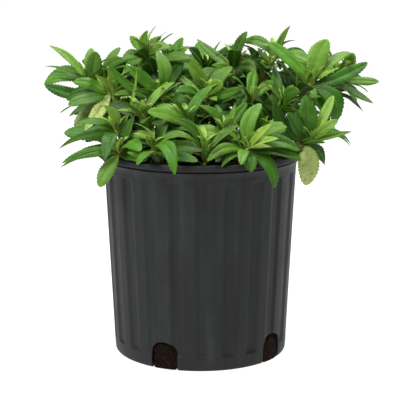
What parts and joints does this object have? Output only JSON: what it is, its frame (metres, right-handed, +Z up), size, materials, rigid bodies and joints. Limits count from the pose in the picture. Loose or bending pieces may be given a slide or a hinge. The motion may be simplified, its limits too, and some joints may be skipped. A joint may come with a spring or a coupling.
{
  "type": "potted spiked speedwell",
  "caption": "Leafy perennial in a round fluted nursery pot: a dense mat of toothed lance-shaped leaves on short shoots, before flowering.",
  "frame": {"origin": "centre of the pot's flat underside, on the surface it stands on", "axes": "+Z up along the pot's axis, -Y towards the side the picture shows, +X to its right"},
  "size_m": [0.2691, 0.2048, 0.2624],
  "materials": {
    "pot": "charcoal blow-moulded polyethylene, satin",
    "potting_mix": "damp shredded bark and peat",
    "foliage": "fresh green leaves with a soft sheen, paler beneath"
  },
  "bodies": {
    "root": {"pot": "pot", "potting_mix": "potting_mix", "shoot_back_far": "foliage", "shoot_back_far_left": "foliage", "shoot_back_far_right": "foliage", "shoot_back_left": "foliage", "shoot_back_low": "foliage", "shoot_back_middle": "foliage", "shoot_back_right": "foliage", "shoot_centre": "foliage", "shoot_centre_left": "foliage", "shoot_front_left": "foliage", "shoot_front_low": "foliage", "shoot_front_middle": "foliage", "shoot_front_right": "foliage", "shoot_inner_left": "foliage", "shoot_inner_right": "foliage", "shoot_left_back": "foliage", "shoot_left_high": "foliage", "shoot_left_low": "foliage", "shoot_left_middle": "foliage", "shoot_left_rim": "foliage", "shoot_low_centre": "foliage", "shoot_low_left": "foliage", "shoot_low_middle": "foliage", "shoot_low_right": "foliage", "shoot_right_back": "foliage", "shoot_right_high": "foliage", "shoot_right_inner": "foliage", "shoot_right_low": "foliage", "shoot_right_middle": "foliage", "shoot_rim_back_left": "foliage", "shoot_rim_back_middle": "foliage", "shoot_rim_back_right": "foliage", "shoot_rim_right": "foliage", "shoot_top_left": "foliage", "shoot_top_middle": "foliage", "shoot_top_right": "foliage"}
  },
  "joints": []
}
